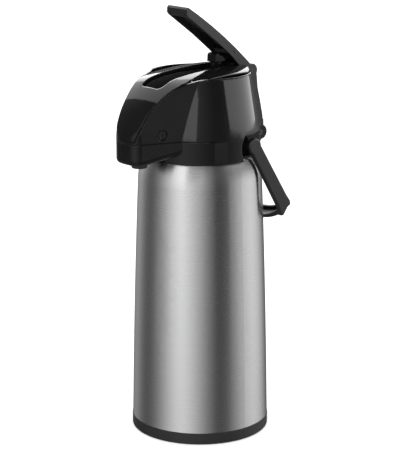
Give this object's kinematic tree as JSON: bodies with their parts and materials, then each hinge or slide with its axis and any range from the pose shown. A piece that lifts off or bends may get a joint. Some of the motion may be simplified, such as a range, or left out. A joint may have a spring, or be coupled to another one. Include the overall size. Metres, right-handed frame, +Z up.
{
  "type": "thermal coffee airpot",
  "caption": "Vacuum airpot with brushed steel body, hinged black pump head with lift-up lever, front spout, swinging bail handle and glass liner.",
  "frame": {"origin": "centre of the foot ring's underside, on the surface that the airpot stands on", "axes": "+Z up along the body's axis; the spout points along -Y; the head's hinge is at +Y; +X to the right seen from the spout's back"},
  "size_m": [0.14, 0.1802, 0.4353],
  "materials": {
    "steel": "fine brushing around the body, satin",
    "gloss_black": "gloss",
    "satin_black": "satin",
    "dark_plastic": "fine matt",
    "rubber": "matt",
    "silicone": "satin",
    "glass": "silvered inside the vacuum gap",
    "clear_plastic": "translucent",
    "plated": "bright",
    "dark_steel": "blackened"
  },
  "bodies": {
    "root": {"base_ring": "dark_plastic", "foot_ring": "rubber", "bottom_cap": "dark_plastic", "liner_cushion": "rubber", "steel_body": "steel", "glass_liner": "glass", "neck_support": "dark_plastic", "neck_gasket": "silicone", "collar": "gloss_black", "collar_screws": "plated", "lid_hinge_pin": "dark_steel", "handle_pins": "dark_plastic", "dip_tube": "clear_plastic", "stem_head": "clear_plastic", "spout_tube": "silicone", "spout_nozzle": "dark_plastic"},
    "lid": {"lid_shell": "gloss_black", "top_cover": "gloss_black", "lever_tray": "dark_plastic", "plunger_guide": "dark_plastic", "rear_bracket": "satin_black", "side_screws": "dark_steel", "lid_plate": "dark_plastic", "plate_screws": "plated", "lid_gasket": "silicone", "bellows": "silicone", "return_spring": "plated", "lever_pivot_pin": "dark_steel"},
    "lever": {"lever": "satin_black", "push_pin": "dark_steel", "push_roller": "dark_plastic"},
    "plunger": {"plunger": "gloss_black"},
    "handle": {"handle": "satin_black"},
    "valve": {"valve_ball": "plated"}
  },
  "joints": [
    {"name": "lid_hinge", "type": "hinge", "parent": "root", "child": "lid", "pos_m": [0, 0.071, 0.3], "axis": [-1, 0, 0], "range_deg": [0, 90]},
    {"name": "lever_hinge", "type": "hinge", "parent": "lid", "child": "lever", "pos_m": [0, 0.0565, 0.365], "axis": [1, 0, 0], "range_deg": [0, 39], "stiffness_Nm_per_rad": 0.25, "springref_deg": -17.19},
    {"name": "plunger_slide", "type": "slide", "parent": "lid", "child": "plunger", "axis": [0, 0, -1], "range_m": [0, 0.0206], "deforming": ["bellows", "return_spring"]},
    {"name": "handle_swing", "type": "hinge", "parent": "root", "child": "handle", "pos_m": [0, 0.0215, 0.2985], "axis": [1, 0, 0], "range_deg": [0, 50]},
    {"name": "valve_lift", "type": "slide", "parent": "root", "child": "valve", "axis": [0, 0, 1], "range_m": [0, 0.003]}
  ],
  "couplings": [
    {"joint": "plunger_slide", "follows": "lever_hinge", "m_per_rad": 0.03017}
  ]
}
